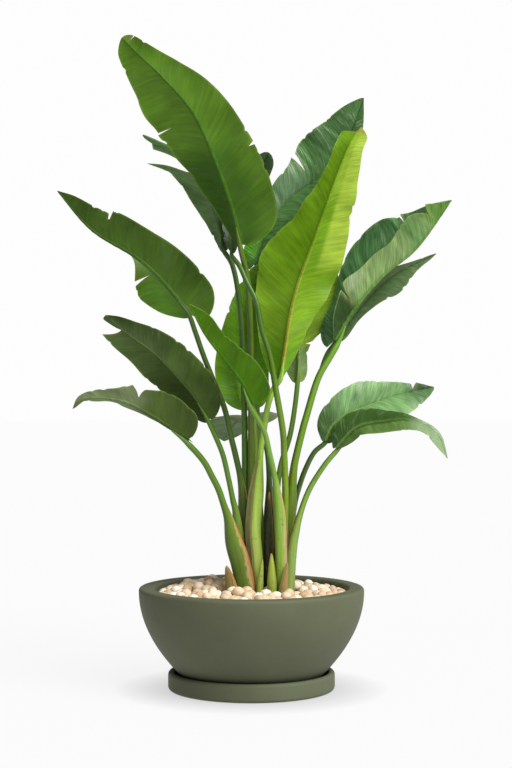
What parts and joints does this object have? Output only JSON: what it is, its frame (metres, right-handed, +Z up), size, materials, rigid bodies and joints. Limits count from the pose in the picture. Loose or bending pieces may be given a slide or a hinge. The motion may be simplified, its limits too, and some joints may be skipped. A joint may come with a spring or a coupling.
{
  "type": "potted bird of paradise",
  "caption": "Bird of paradise houseplant with a clump of large paddle-shaped leaves on sheathing stalks, in a low bowl planter topped with pebbles, on a round saucer.",
  "frame": {"origin": "on the ground under the middle of the pot and saucer", "axes": "+Z up, -Y the front as pictured, +X to the viewer's right"},
  "size_m": [0.9643, 0.6275, 1.5871],
  "materials": {
    "leaf_blade": "waxy leaf, semi-gloss above, matte and bluish below",
    "leaf_stalk": "smooth green leaf stem and sheath, satin",
    "shoot": "young sheath, satin",
    "planter": "matte olive fibre clay",
    "soil": "damp bark and peat potting mix, rough",
    "pebble": "smooth rounded river pebbles, matte"
  },
  "bodies": {
    "root": {"middle_back_blade": "leaf_blade", "middle_back_stalk": "leaf_stalk", "top_left_blade": "leaf_blade", "top_left_stalk": "leaf_stalk", "behind_top_left_blade": "leaf_blade", "behind_top_left_stalk": "leaf_stalk", "top_right_blade": "leaf_blade", "top_right_stalk": "leaf_stalk", "broad_back_blade": "leaf_blade", "broad_back_stalk": "leaf_stalk", "behind_centre_blade": "leaf_blade", "behind_centre_stalk": "leaf_stalk", "back_blade": "leaf_blade", "back_stalk": "leaf_stalk", "upper_right_blade": "leaf_blade", "upper_right_stalk": "leaf_stalk", "narrow_right_blade": "leaf_blade", "narrow_right_stalk": "leaf_stalk", "middle_right_back_blade": "leaf_blade", "middle_right_back_stalk": "leaf_stalk", "upper_left_blade": "leaf_blade", "upper_left_stalk": "leaf_stalk", "middle_left_blade": "leaf_blade", "middle_left_stalk": "leaf_stalk", "centre_blade": "leaf_blade", "centre_stalk": "leaf_stalk", "front_blade": "leaf_blade", "front_stalk": "leaf_stalk", "middle_right_front_blade": "leaf_blade", "middle_right_front_stalk": "leaf_stalk", "lower_left_blade": "leaf_blade", "lower_left_stalk": "leaf_stalk", "old_sheath_left": "shoot", "shoot_pale": "shoot", "shoot_spear": "shoot", "old_sheath_right": "shoot", "shoot_dark": "shoot", "saucer": "planter", "pot": "planter", "soil": "soil", "pebbles": "pebble"}
  },
  "joints": []
}
